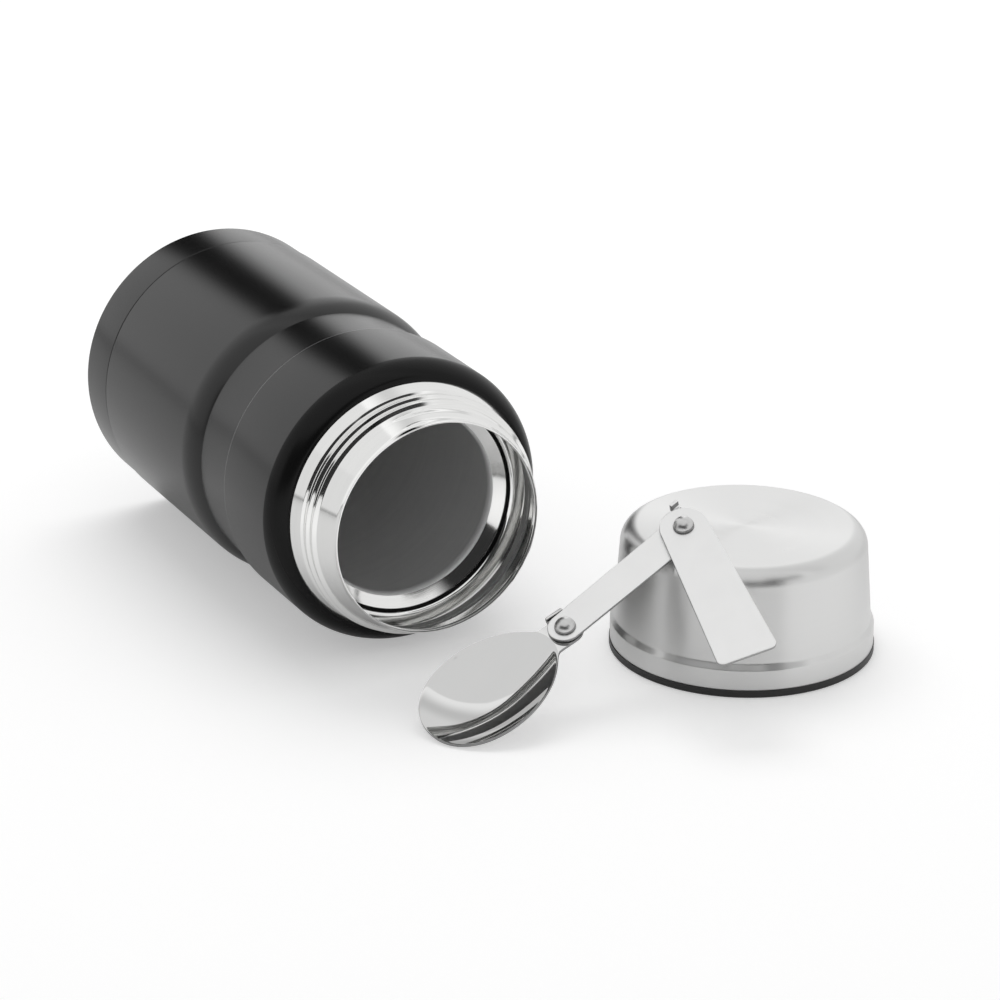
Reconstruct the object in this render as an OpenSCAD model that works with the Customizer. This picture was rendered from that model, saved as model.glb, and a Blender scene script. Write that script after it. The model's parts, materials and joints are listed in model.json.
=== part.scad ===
// Vacuum food jar with its screw lid and a folding spoon.
// The jar lies on its side with its axis along +Y and its mouth towards -Y.
// The lid stands beside it on its rim, and the spoon leans over the lid.
// The origin is the centre of the jar's mouth. Everything stands on z = -body_d / 2.

/* [Jar outside] */
// Diameter of the lower body
body_d = 92; // [84:0.5:104]
// Diameter of the section above the waist
upper_d = 90; // [82:0.5:102]
// Diameter of the waist
waist_d = 86.6; // [80:0.2:98]
// Length from the mouth to the foot
jar_len = 168.4; // [140:0.2:210]
// From the mouth to the seat that the lid closes on
seat_y = 19.3; // [16:0.1:24]
// Width of the rounded shoulder
shoulder_w = 4.8; // [3:0.2:6]
// Length of the rounded shoulder
shoulder_len = 7.4; // [4:0.2:12]
// From the mouth to the step above the waist
upper_end_y = 56.2; // [45:0.2:64]
// Length of the waist
waist_len = 21; // [14:0.5:28]
// Length of the curve from the waist out to the body
flare_len = 9.7; // [6:0.1:12]
// Thickness of the steel sheet
sheet = 0.6; // [0.4:0.05:0.8]

/* [Neck and liner] */
// Outside diameter of the lip
lip_d = 66.6; // [60:0.1:69]
// Length of the straight lip
lip_len = 1.8; // [1.2:0.1:2.6]
// Outside diameter of the neck beside its rolled thread
thread_root_d = 74.4; // [73.6:0.1:74.8]
// Height of the rolled thread
ridge = 1; // [0.6:0.05:1.2]
// Width of the rolled thread
ridge_w = 4.1; // [3.2:0.1:4.6]
// From the mouth to the middle of the rolled thread
thread_y = 12.1; // [10:0.1:12.6]
// Outside diameter of the plain band below the thread
band_d = 77.2; // [76:0.1:77.6]
// Outside diameter of the neck's flared lower end
neck_flare_d = 78.6; // [77.8:0.1:78.8]
// Inside diameter of the throat
throat_d = 58.6; // [50:0.2:62]
// Width of the vacuum gap at the waist
vacuum_gap = 2.7; // [2:0.1:4]
// Depth of the empty space between the two bottoms
bottom_gap = 7; // [6.5:0.5:10]

/* [Base cap] */
// Diameter of the base cap
cap_d = 91.4; // [83:0.2:103]
// Length of the base cap's side
cap_len = 17.5; // [12:0.5:20]
// Thickness of the base cap
cap_wall = 0.8; // [0.6:0.1:1]
// Radius of the base cap's edge
cap_edge_r = 1.6; // [1.4:0.2:4]
// Width of the seam between body and base cap
seam = 0.5; // [0.3:0.1:0.8]

/* [Lid] */
// Height of the lid
lid_h = 38.8; // [34:0.2:46]
// Diameter of the black rim that the lid stands on
rim_d = 81; // [80.6:0.1:83]
// Height of the black rim
rim_h = 2.4; // [1.6:0.1:3]
// Diameter of the steel band above the rim
lid_band_d = 80.5; // [80:0.1:82.4]
// Height of the top of the steel band
lid_band_h = 8.6; // [7:0.2:10]
// Diameter of the lid just above its band
lid_low_d = 78.4; // [78:0.1:79.4]
// Diameter of the lid below its rounded edge
lid_top_d = 74.2; // [72:0.2:78]
// Radius of the lid's rounded edge
lid_edge_r = 5.5; // [3:0.25:8]
// Thickness of the plastic in the lid
plastic = 0.65; // [0.5:0.05:0.7]
// Thickness of the sealing ring
gasket_h = 1.2; // [1:0.1:1.6]
// Distance of the lid's axis to the right of the jar's axis
lid_right = 91; // [88:0.5:110]
// Distance of the lid's axis in front of the mouth
lid_front = 24.6; // [10:0.2:40]

/* [Spoon] */
// Distance between the two rivets
link_len = 49.2; // [44:0.2:60]
// Width of the link at the bowl
link_w = 10.5; // [9:0.25:12]
// Width of the link at the handle
link_w2 = 11.5; // [9:0.25:13]
// From the handle's rivet to the end of the handle
handle_len = 55.4; // [46:0.2:62]
// Width of the handle at its rivet
handle_w = 14.6; // [12.5:0.1:16]
// Width of the handle at its end
handle_w2 = 18.3; // [15:0.1:22]
// Radius of the handle's corners
corner_r = 2.2; // [1:0.1:4]
// From the bowl's rivet to its tip
bowl_reach = 50.8; // [46:0.2:60]
// Width of the bowl
bowl_w = 33.8; // [28:0.2:38]
// Depth of the bowl's underside below its rim
bowl_depth = 7.4; // [6:0.1:11]
// Angle by which the bowl is set down from its tab
bowl_set = 5; // [0:0.1:12]
// Thickness of the spoon's steel
plate = 1; // [0.8:0.05:1.1]
// Diameter of the rivet heads
rivet_head_d = 6.4; // [5:0.25:7]
// Diameter of the rivet shanks
rivet_d = 3.8; // [3:0.1:4.2]
// Thickness of the washer between link and bowl
bowl_washer_h = 0.35; // [0.2:0.05:0.5]
// Thickness of the washer between link and handle
handle_washer_h = 0.25; // [0.2:0.05:0.4]
// Turn of the bowl from straight in line with the link, at rest
bowl_turn = -6; // [-8:0.1:0]
// Angle from the link's line to the handle at rest
handle_turn = -115; // [-140:0.5:-90]

/* [Spoon's place] */
// Compass angle that the spoon's upper side faces
face_az = -137.7; // [-145:0.5:-130]
// Lean of the spoon's plane from level
lean = 26.8; // [22:0.25:30]
// Turn of the link in that plane from straight downhill
link_turn = 151; // [145:0.2:160]
// Sideways place of the bowl's rivet, across the slope
across = -35.7; // [-40:0.1:-32]

/* [Hidden] */

black = "#2b2b2c";
steel = "#c9cacb";
bright_steel = "#e4e5e6";
plastic_black = "#1a1a1b";

fit = 0.02;        // between parts that are welded, glued or pressed together
running = 0.05;    // between a rivet, or a flat face, and what turns on it
free_gap = 0.25;   // between parts that pass each other

// Jar, in its own frame: radius outwards, y from the mouth to the foot
body_r = body_d / 2;
upper_r = upper_d / 2;
waist_r = waist_d / 2;
band_r = band_d / 2;
lip_r = lip_d / 2;
root_r = thread_root_d / 2;
throat_r = throat_d / 2 + sheet;
waist_end_y = upper_end_y + waist_len;
body_start_y = waist_end_y + flare_len;
cap_start_y = jar_len - cap_len;
neck_in_r = cap_d / 2 - cap_wall - fit;          // the body's end, inside the cap
foot_rise = 1.8;                                  // the cap's middle stands clear of the table
outer_bottom_y = jar_len - foot_rise - cap_wall - 4;
shell_end_y = outer_bottom_y + 2.5;
liner_r = waist_r - sheet - vacuum_gap;
liner_bottom_y = outer_bottom_y - bottom_gap;
liner_end_y = liner_bottom_y + 2;
ledge_y = seat_y - fit;                           // the neck's ledge lies on the shoulder
throat_curve = 3.7;
ledge_in_r = throat_r + throat_curve;
throat_y = ledge_y + throat_curve;
liner_wide_y = throat_y + 11;

// Lid, in its own frame: radius outwards, z up from the table
lid_band_r = lid_band_d / 2;
lid_low_r = lid_low_d / 2;
lid_top_r = lid_top_d / 2;
lid_step = 1.8;
rim_in_r = neck_flare_d / 2 + 0.2;
taper_z = lid_band_h + lid_step;
skirt_low_r = lid_band_r - sheet - 0.15;
shelf_z = seat_y + gasket_h + 0.1;
recess_r = lip_r - sheet - 1.2;
recess_top_z = shelf_z + 2.5;
gasket_in_r = recess_r + 0.9;
gasket_out_r = skirt_r(shelf_z) - plastic - 0.4;

// Spoon, in its own frame: x from the bowl's rivet to the handle's, z = 0 on top of the link
tab_top = -plate - bowl_washer_h - running;
handle_z = handle_washer_h + running;
tab_w = link_w;
bowl_neck = 6;
bowl_mid = bowl_neck + (bowl_reach - bowl_neck) * 0.534;
bowl_tip_a = bowl_reach - bowl_mid;
bowl_neck_a = bowl_mid - bowl_neck;
bowl_steps = 48;
bowl_rings = 9;
dome_h = rivet_head_d * 0.42;
lug_in = handle_w / 2 + 0.45;
ear_in = link_w / 2 + 0.5;
lug_x = 2.7;                                       // the lug starts this far past the rivet
lug_len = 3;

// The spoon's plane clears the lid's rounded edge, also while the link swings over it,
// and the bowl's belly just reaches the table.
slope_c = cos(lean);
slope_s = sin(lean);
lid_support = (lid_top_r - lid_edge_r) * slope_s + (lid_h - lid_edge_r) * slope_c + lid_edge_r;
plane_off = lid_support + plate + free_gap;
along_drop = slope_s * cos(link_turn + bowl_turn); // fall of the tab's line, per length
side_drop = slope_s * sin(link_turn + bowl_turn);
dish_drop = along_drop * cos(bowl_set) - slope_c * sin(bowl_set);
dish_up = along_drop * sin(bowl_set) + slope_c * cos(bowl_set);
belly = dish_up * bowl_depth
    + (pow(dish_drop * bowl_tip_a, 2) + pow(side_drop * bowl_w / 2, 2)) / (4 * dish_up * bowl_depth);
pivot_z = 0.1 + belly + dish_up * plate - dish_drop * bowl_neck_a - along_drop * bowl_neck - slope_c * tab_top;
pivot_u = (plane_off - slope_c * pivot_z) / slope_s;

function lid_r(z) = lid_low_r - (lid_low_r - lid_top_r) * (z - taper_z) / (lid_h - lid_edge_r - taper_z);
function skirt_r(z) = lid_r(z) - sheet - 0.2;      // outside of the plastic, inside the lid's shell
function unit(v) = v / norm(v);
function left_of(v) = [-v.y, v.x];
function arc(c, r, from, to, steps = 8) =
    [for (i = [0:steps]) let (a = from + (to - from) * i / steps) c + r * [cos(a), sin(a)]];
function ease(p, q, steps = 8) =                   // an S-curve that leaves p and meets q along y
    [for (i = [0:steps]) let (t = i / steps)
        [p.x + (q.x - p.x) * (1 - cos(180 * t)) / 2, p.y + (q.y - p.y) * t]];
function beside(path, gap) =                       // the same path, moved gap to its left
    [for (i = [0:len(path) - 1])
        let (a = i > 0 ? unit(path[i] - path[i - 1]) : unit(path[1] - path[0]),
             b = i < len(path) - 1 ? unit(path[i + 1] - path[i]) : a,
             n = unit(left_of(a) + left_of(b)))
        path[i] + n * gap / (n * left_of(b))];
function backwards(path) = [for (i = [len(path) - 1:-1:0]) path[i]];

// Sheet metal turned about the axis: path is the outside, the metal lies to its left
module turned_sheet(path, wall) {
    rotate_extrude($fn = 96) polygon(concat(path, backwards(beside(path, wall))));
}

module jar_frame() { rotate([-90, 0, 0]) children(); }
module lid_frame() { translate([lid_right, -lid_front, -body_r]) children(); }
module spoon_frame() {
    lid_frame()
        translate([pivot_u * cos(face_az) - across * sin(face_az),
                   pivot_u * sin(face_az) + across * cos(face_az), pivot_z])
        rotate([0, 0, face_az]) rotate([0, lean, 0]) rotate([0, 0, link_turn]) children();
}
module bowl_frame() { spoon_frame() rotate([0, 0, bowl_turn]) children(); }
module handle_frame() {
    spoon_frame() translate([link_len, 0, 0]) rotate([0, 0, handle_turn]) children();
}

// ---- Jar ----

module outer_shell() {
    flare_r = (pow(flare_len, 2) + pow(body_r - waist_r, 2)) / (2 * (body_r - waist_r));
    flare_a = asin(flare_len / flare_r);
    path = concat(
        [[ledge_in_r + 0.6, seat_y]],
        [for (i = [0:8]) [upper_r - shoulder_w * (1 - sin(11.25 * i)),
                          seat_y + shoulder_len * (1 - cos(11.25 * i))]],
        [[upper_r, upper_end_y - 0.5], [upper_r - 0.5, upper_end_y],
         [waist_r, upper_end_y], [waist_r, waist_end_y]],
        arc([body_r - flare_r, body_start_y], flare_r, -flare_a, 0),
        arc([body_r - 1, cap_start_y - seam - 1], 1, 0, 70, 4),
        [[neck_in_r, cap_start_y - seam], [neck_in_r, shell_end_y]]);
    color(black) jar_frame() turned_sheet(path, sheet);
}

module outer_bottom() {
    edge_r = neck_in_r - sheet - fit;
    dimple_r = 7;
    path = concat(
        [[edge_r, shell_end_y - 0.2]],
        arc([edge_r - 1.5, outer_bottom_y + 1.5], 1.5, 0, -90, 4),
        [[dimple_r + 3, outer_bottom_y], [dimple_r, outer_bottom_y - 1.6], [1.2, outer_bottom_y - 1.6]]);
    color(steel) jar_frame() turned_sheet(backwards(path), sheet);
}

module base_cap() {
    cap_r = cap_d / 2;
    foot_r = cap_r - cap_edge_r;
    inner_y = jar_len - foot_rise;
    path = concat(
        [[cap_r - 0.3, cap_start_y], [cap_r, cap_start_y + 0.3]],
        arc([foot_r, jar_len - cap_edge_r], cap_edge_r, 0, 90, 6),
        [[foot_r - 5, jar_len], [foot_r - 5 - foot_rise, inner_y], [0, inner_y]]);
    inside = concat(
        [[0, inner_y - cap_wall], [foot_r - 5 - foot_rise, inner_y - cap_wall]],
        [[foot_r - 5, jar_len - cap_wall]],
        arc([foot_r, jar_len - cap_edge_r], cap_edge_r - cap_wall, 90, 0, 6),
        [[cap_r - cap_wall, cap_start_y]]);
    color(black) jar_frame() rotate_extrude($fn = 96) polygon(concat(path, inside));
}

module inner_liner() {
    path = concat(
        [[lip_r, 0]],
        ease([lip_r, lip_len], [root_r, thread_y - ridge_w / 2]),
        [for (i = [1:9]) [root_r + ridge * (1 - cos(36 * i)) / 2, thread_y + ridge_w * (i / 10 - 0.5)]],
        ease([root_r, thread_y + ridge_w / 2], [band_r, thread_y + ridge_w / 2 + 1.3], 4),
        [[band_r, ledge_y - 2], [neck_flare_d / 2, ledge_y - 0.4], [neck_flare_d / 2, ledge_y]],
        arc([ledge_in_r, throat_y], throat_curve, -90, -180, 8),
        ease([throat_r, throat_y + 0.4], [liner_r, liner_wide_y]),
        [[liner_r, liner_end_y]]);
    color(bright_steel) jar_frame() turned_sheet(path, sheet);
}

module liner_bottom() {
    edge_r = liner_r - sheet - fit;
    path = concat(
        [[edge_r, liner_end_y - 0.2]],
        arc([edge_r - 3, liner_bottom_y + 1], 3, 0, -90, 6),
        [[4, liner_bottom_y - 2.4], [0, liner_bottom_y - 2.4]]);
    color(steel) jar_frame() turned_sheet(backwards(path), sheet);
}

module reflector_foil() {
    foil = 0.15;
    color("#c4895c") jar_frame() translate([0, 0, liner_wide_y + 1]) difference() {
        cylinder(h = liner_end_y - liner_wide_y - 3, r = liner_r + fit + foil, $fn = 96);
        translate([0, 0, -1])
            cylinder(h = liner_end_y - liner_wide_y, r = liner_r + fit, $fn = 96);
    }
}

getter_r = 5;
getter_h = 1.6;
getter_off = 20;                                   // from the jar's axis
getter_y = outer_bottom_y - getter_h - fit;

module getter_cup() {
    color("#8d8f92") jar_frame() translate([0, getter_off, getter_y]) difference() {
        cylinder(h = getter_h, r = getter_r, $fn = 48);
        translate([0, 0, -0.1]) cylinder(h = 0.9, r = getter_r - 0.6, $fn = 48);
    }
}

module getter_clip() {
    strap_w = 3;
    reach = getter_r + 3;
    strap = 0.3;
    color(steel) jar_frame() translate([0, getter_off, outer_bottom_y - fit])
        for (side = [-1, 1]) mirror([side > 0 ? 0 : 1, 0, 0]) {
            translate([getter_r + fit, -strap_w / 2, -getter_h - strap - fit])
                cube([strap, strap_w, getter_h + strap + fit]);
            translate([getter_r + fit, -strap_w / 2, -strap])
                cube([reach - getter_r, strap_w, strap]);
            translate([-fit, -strap_w / 2, -getter_h - strap - fit])
                cube([getter_r + strap + fit, strap_w, strap]);
        }
}

module vacuum_seal() {
    color("#b9b4a4") jar_frame() translate([0, 0, outer_bottom_y - 1.6 + sheet + fit]) {
        cylinder(h = 0.7, r = 4, $fn = 48);
        translate([0, 0, 0.7]) cylinder(h = 0.5, r1 = 4, r2 = 2.6, $fn = 48);
    }
}

// ---- Lid ----

module lid_shell() {
    path = concat(
        [[lid_band_r, rim_h + fit]],
        ease([lid_band_r, lid_band_h], [lid_low_r, taper_z], 6),
        arc([lid_top_r - lid_edge_r, lid_h - lid_edge_r], lid_edge_r, 0, 90, 12),
        [[0, lid_h]]);
    color(steel) lid_frame() turned_sheet(path, sheet);
}

module lid_liner() {
    valley_z = seat_y - thread_y - ridge_w / 2;
    thread_in_r = root_r + ridge + 0.2;
    crest_r = root_r + 0.25;
    outside = [
        [rim_d / 2 - 0.3, 0], [rim_d / 2, 0.3], [rim_d / 2, rim_h], [skirt_low_r, rim_h],
        [skirt_low_r, lid_band_h - 1.2], [skirt_r(taper_z), taper_z],
        [skirt_r(shelf_z + plastic), shelf_z + plastic],
        [recess_r + plastic, shelf_z + plastic], [recess_r + plastic, recess_top_z + plastic],
        [0, recess_top_z + plastic]];
    inside = [
        [0, recess_top_z], [recess_r, recess_top_z], [recess_r, shelf_z],
        [skirt_r(shelf_z) - plastic, shelf_z], [skirt_r(taper_z) - plastic, taper_z + 0.3],
        [thread_in_r, taper_z - 1.1], [thread_in_r, valley_z + 0.7], [crest_r, valley_z + 0.2],
        [crest_r, valley_z - 0.2], [band_r + 0.3, valley_z - 0.8], [band_r + 0.3, 2.1],
        [rim_in_r, 1.5], [rim_in_r, 0]];
    color(plastic_black) lid_frame() rotate_extrude($fn = 96) polygon(concat(outside, inside));
}

module lid_insulation() {
    gap = sheet + 0.3;
    edge = lid_edge_r - gap;
    low_z = shelf_z + plastic + 0.2;
    wall_r = lid_r(low_z) - gap;
    path = concat(
        [[recess_r + plastic + 0.2, low_z], [wall_r, low_z]],
        arc([lid_top_r - lid_edge_r, lid_h - lid_edge_r], edge, 0, 90, 8),
        [[0, lid_h - gap], [0, recess_top_z + plastic + 0.2],
         [recess_r + plastic + 0.2, recess_top_z + plastic + 0.2]]);
    color("#efefec") lid_frame() rotate_extrude($fn = 96) polygon(path);
}

module lid_gasket() {
    color("#dcdcd8") lid_frame() rotate_extrude($fn = 96) polygon([
        [gasket_in_r, shelf_z - fit], [gasket_in_r, shelf_z - gasket_h + 0.3],
        [gasket_in_r + 0.5, shelf_z - gasket_h], [gasket_out_r - 0.5, shelf_z - gasket_h],
        [gasket_out_r, shelf_z - gasket_h + 0.3], [gasket_out_r, shelf_z - fit]]);
}

// ---- Spoon ----

function side_power(x) = x > 0 ? 1.9 : 2.15;       // the tip is fuller than the neck side
function rim_point(a) =                            // outline of the bowl, from its middle
    let (c = cos(a), s = sin(a), power = side_power(c), long = c > 0 ? bowl_neck_a : bowl_tip_a)
    [long * sign(c) * pow(abs(c), 2 / power), bowl_w / 2 * sign(s) * pow(abs(s), 2 / power)];

function bowl_layer(top, depth) =
    [for (k = [1:bowl_rings], i = [0:bowl_steps - 1])
        let (rho = k / bowl_rings, p = rim_point(360 * i / bowl_steps) * rho)
        [p.x - bowl_neck_a, p.y, top - depth * (1 - rho * rho)]];

module bowl_dish() {                               // its origin is where its rim meets the tab
    n = bowl_steps;
    inner = concat([[-bowl_neck_a, 0, plate - bowl_depth]], bowl_layer(0, bowl_depth - plate));
    outer = concat([[-bowl_neck_a, 0, -plate - bowl_depth]], bowl_layer(-plate, bowl_depth));
    half = len(inner);
    last = 1 + (bowl_rings - 1) * n;
    polyhedron(points = concat(inner, outer), faces = concat(
        [for (i = [0:n - 1]) [0, 1 + (i + 1) % n, 1 + i]],
        [for (i = [0:n - 1]) [half, half + 1 + i, half + 1 + (i + 1) % n]],
        [for (k = [0:bowl_rings - 2], i = [0:n - 1]) let (a = 1 + k * n + i, b = 1 + k * n + (i + 1) % n)
            each [[a, b, b + n], [a, b + n, a + n]]],
        [for (k = [0:bowl_rings - 2], i = [0:n - 1])
            let (a = half + 1 + k * n + i, b = half + 1 + k * n + (i + 1) % n)
            each [[b, a, b + n], [b + n, a, a + n]]],
        [for (i = [0:n - 1]) let (a = last + i, b = last + (i + 1) % n)
            each [[a, b, half + b], [a, half + b, half + a]]]));
}

// A lug bent up from a plate's edge: the bend, then the upright, running along x
module bent_ear(length, top) {
    bend = 0.3;
    rotate([90, 0, 90]) linear_extrude(length) difference() {
        union() {
            translate([-bend, 0]) square([bend + plate, top]);
            translate([-bend - 0.6, 0]) square([bend + 0.61, plate]);
        }
        translate([-bend, plate + bend]) circle(r = bend, $fn = 24);
        translate([-bend - 0.1, plate + bend]) square([bend + 0.1, top]);
    }
}

module spoon_bowl() {
    color(bright_steel) bowl_frame() difference() {
        union() {
            translate([-bowl_neck, 0, tab_top]) rotate([0, -bowl_set, 0]) bowl_dish();
            translate([0, 0, tab_top - plate]) linear_extrude(plate) {
                circle(d = tab_w, $fn = 64);
                polygon([[0, tab_w / 2], [-bowl_neck, tab_w / 2], [-bowl_neck - 1.8, tab_w / 2 + 1.2],
                         [-bowl_neck - 1.8, -tab_w / 2 - 1.2], [-bowl_neck, -tab_w / 2], [0, -tab_w / 2]]);
                translate([-2.4, 0]) square([6, ear_in + 0.01]);
            }
            translate([-2.4, ear_in, tab_top - plate]) bent_ear(6, -tab_top + plate);
        }
        translate([0, 0, tab_top - 2 * plate]) cylinder(h = 3 * plate, d = rivet_d + 2 * running, $fn = 48);
    }
}

module spoon_link() {
    color(steel) spoon_frame() difference() {
        union() {
            translate([0, 0, -plate]) linear_extrude(plate) {
                circle(d = link_w, $fn = 64);
                translate([link_len, 0]) circle(d = link_w2, $fn = 64);
                polygon([[0, link_w / 2], [link_len, link_w2 / 2], [link_len, -link_w2 / 2], [0, -link_w / 2]]);
                translate([link_len + lug_x, 0]) square([lug_len, lug_in + 0.01]);
            }
            translate([link_len + lug_x, lug_in, -plate]) bent_ear(lug_len, 2 * plate + handle_z + 0.7);
        }
        translate([0, 0, -2 * plate]) cylinder(h = 3 * plate, d = rivet_d + 2 * fit, $fn = 48);
        translate([link_len, 0, -2 * plate]) cylinder(h = 3 * plate, d = rivet_d + 2 * fit, $fn = 48);
        translate([link_len, 0, -plate]) rivet_foot(fit);
    }
}

// The flush, countersunk end of the handle's rivet
module rivet_foot(gap) {
    foot_h = 0.55;
    translate([0, 0, -gap]) cylinder(h = foot_h + gap, r1 = rivet_d / 2 + foot_h + gap,
                                     r2 = rivet_d / 2 + gap, $fn = 48);
}

module handle_outline() {
    slope = atan((handle_w2 - handle_w) / 2 / handle_len);
    in = corner_r * (1 + sin(slope)) / cos(slope);
    corner = [handle_len - corner_r, handle_w2 / 2 - in];
    circle(d = handle_w, $fn = 64);
    polygon(concat(
        [[0, -handle_w / 2]],
        arc([corner.x, -corner.y], corner_r, -90 - slope, 0, 6),
        arc(corner, corner_r, 0, 90 + slope, 6),
        [[0, handle_w / 2]]));
}

module spoon_handle() {
    color(steel) handle_frame() translate([0, 0, handle_z]) difference() {
        linear_extrude(plate) handle_outline();
        translate([0, 0, -plate]) cylinder(h = 3 * plate, d = rivet_d + 2 * running, $fn = 48);
    }
}

module dome() {
    head_r = rivet_head_d / 2;
    ball_r = (head_r * head_r + dome_h * dome_h) / (2 * dome_h);
    intersection() {
        translate([0, 0, dome_h - ball_r]) sphere(r = ball_r, $fn = 64);
        cylinder(h = dome_h + 1, r = ball_r, $fn = 64);
    }
}

module bowl_rivet() {
    tail_h = 0.8;
    tail_z = tab_top - plate - running;
    color(bright_steel) spoon_frame() {
        dome();
        translate([0, 0, tail_z]) cylinder(h = -tail_z, d = rivet_d, $fn = 48);
        translate([0, 0, tail_z - tail_h])
            cylinder(h = tail_h, r1 = rivet_head_d / 2 - 0.5, r2 = rivet_head_d / 2, $fn = 48);
    }
}

module handle_rivet() {
    head_z = handle_z + plate + running;
    color(bright_steel) spoon_frame() translate([link_len, 0, 0]) {
        translate([0, 0, head_z]) dome();
        translate([0, 0, -plate]) cylinder(h = plate + head_z, d = rivet_d, $fn = 48);
        translate([0, 0, -plate]) rivet_foot(0);
    }
}

module washer(z, h) {
    translate([0, 0, z]) difference() {
        cylinder(h = h, d = rivet_d + 4.6, $fn = 48);
        translate([0, 0, -1]) cylinder(h = h + 2, d = rivet_d + 2 * fit, $fn = 48);
    }
}

module bowl_washer() {
    color(steel) spoon_frame() washer(-plate - bowl_washer_h, bowl_washer_h);
}

module handle_washer() {
    color(steel) spoon_frame() translate([link_len, 0, 0]) washer(0, handle_washer_h);
}

outer_shell();
outer_bottom();
base_cap();
inner_liner();
liner_bottom();
reflector_foil();
getter_cup();
getter_clip();
vacuum_seal();
lid_shell();
lid_liner();
lid_insulation();
lid_gasket();
spoon_bowl();
spoon_link();
spoon_handle();
bowl_rivet();
handle_rivet();
bowl_washer();
handle_washer();
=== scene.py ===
# %% [markdown]
# A vacuum food jar lies on its side, its screw lid stands beside it, and a folding spoon leans on
# the lid. The CAD model is the frame: every piece made here keeps to its sizes and places. Lengths
# are written in millimetres, as on a drawing, and turned into metres by one factor.

# %% The frame
import json
import math
import bpy
import numpy as np
from mathutils import Matrix, Vector


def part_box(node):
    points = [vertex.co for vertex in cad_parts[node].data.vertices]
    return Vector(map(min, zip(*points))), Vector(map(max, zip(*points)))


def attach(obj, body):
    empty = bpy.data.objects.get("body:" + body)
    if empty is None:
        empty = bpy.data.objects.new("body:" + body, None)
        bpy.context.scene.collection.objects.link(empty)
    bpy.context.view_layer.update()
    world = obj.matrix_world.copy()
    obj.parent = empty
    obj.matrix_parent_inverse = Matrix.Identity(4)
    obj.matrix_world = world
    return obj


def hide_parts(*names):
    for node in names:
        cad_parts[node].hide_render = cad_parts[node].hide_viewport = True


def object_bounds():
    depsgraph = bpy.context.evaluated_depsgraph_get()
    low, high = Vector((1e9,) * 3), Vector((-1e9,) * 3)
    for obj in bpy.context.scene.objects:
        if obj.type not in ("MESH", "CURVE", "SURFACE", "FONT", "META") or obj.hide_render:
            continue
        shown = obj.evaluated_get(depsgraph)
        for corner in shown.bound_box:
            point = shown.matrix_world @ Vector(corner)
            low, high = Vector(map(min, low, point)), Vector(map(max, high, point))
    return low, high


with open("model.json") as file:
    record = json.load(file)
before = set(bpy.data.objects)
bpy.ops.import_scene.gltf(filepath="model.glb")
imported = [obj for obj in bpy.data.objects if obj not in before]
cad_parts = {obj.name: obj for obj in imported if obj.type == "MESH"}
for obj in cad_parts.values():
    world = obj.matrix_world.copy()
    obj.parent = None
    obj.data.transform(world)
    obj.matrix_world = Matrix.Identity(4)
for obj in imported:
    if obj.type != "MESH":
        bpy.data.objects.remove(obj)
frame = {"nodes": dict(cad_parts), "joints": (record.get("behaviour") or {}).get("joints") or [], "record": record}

cad_box = [[float(x) for x in corner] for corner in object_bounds()]
mm = 0.001
record = frame["record"]
print("CAD box in mm:", [[round(x / mm, 1) for x in corner] for corner in cad_box])

# %% [markdown]
# Edit mode works on whatever is selected, and the frame arrives selected. So each piece starts by
# clearing the selection. A finished piece has its place written into its mesh, because patterns are
# measured from the object, which then sits at the origin.

# %% Selection helpers
def deselect():
    if bpy.context.mode != "OBJECT":
        bpy.ops.object.mode_set(mode="OBJECT")
    bpy.ops.object.select_all(action="DESELECT")


def pick(obj):
    deselect()
    obj.select_set(True)
    bpy.context.view_layer.objects.active = obj


def settle(obj):
    """Puts the object's place into its mesh, so that the object itself sits at the origin."""
    pick(obj)
    bpy.ops.object.transform_apply(location=True, rotation=True, scale=True)


deselect()
print(len(frame["nodes"]), "CAD nodes, none selected")

# %% [markdown]
# Most of this object is spun sheet metal. Its drawing is a half section: a chain of points, each
# with the radius of the bend there. The bends could be left to a Bevel modifier, but its width is
# the same everywhere, and here each bend has its own radius. So a helper rounds them with arcs.

# %% Rounded half sections
almost_half = 0.499  # of a side, so that two neighbouring bends don't meet


def rounded(points, fineness=7):
    """points are (radius, height, bend radius) in mm. Returns (radius, height) with arcs at the bends."""
    out = []
    for i, (r, h, bend) in enumerate(points):
        here = Vector((r, h))
        if bend == 0 or i in (0, len(points) - 1):
            out.append(here)
            continue
        before = Vector(points[i - 1][:2]) - here
        after = Vector(points[i + 1][:2]) - here
        a, b = before.normalized(), after.normalized()
        half = math.acos(max(-1, min(1, a.dot(b)))) / 2
        back = min(bend / math.tan(half), almost_half * before.length, almost_half * after.length)
        bend = back * math.tan(half)
        centre = here + (a + b).normalized() * bend / math.sin(half)
        start, end = here + a * back - centre, here + b * back - centre
        turn = math.pi - 2 * half
        steps = max(2, round(fineness * turn))
        for k in range(steps + 1):
            from_start = math.sin(turn * (1 - k / steps)) / math.sin(turn)
            from_end = math.sin(turn * k / steps) / math.sin(turn)
            out.append(centre + start * from_start + end * from_end)
    return out


def ease(a, b, steps):
    """An S-curve between two points of a half section, level along the axis at both ends."""
    return [(a[0] + (b[0] - a[0]) * (1 - math.cos(math.pi * k / steps)) / 2,
             a[1] + (b[1] - a[1]) * k / steps, 0) for k in range(steps + 1)]


print("a right-angled bend becomes", len(rounded([(0, 0, 0), (5, 0, 1), (5, 5, 0)])) - 2, "points")

# %% [markdown]
# A metal spinner presses a disc over a turning form. Here it is done the other way round, as on a
# lathe: one vertex is pushed along the section, and the line it leaves is spun once round the axis.
# Doubles at the start of the turn are merged, and the faces are then turned to point outwards.

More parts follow.
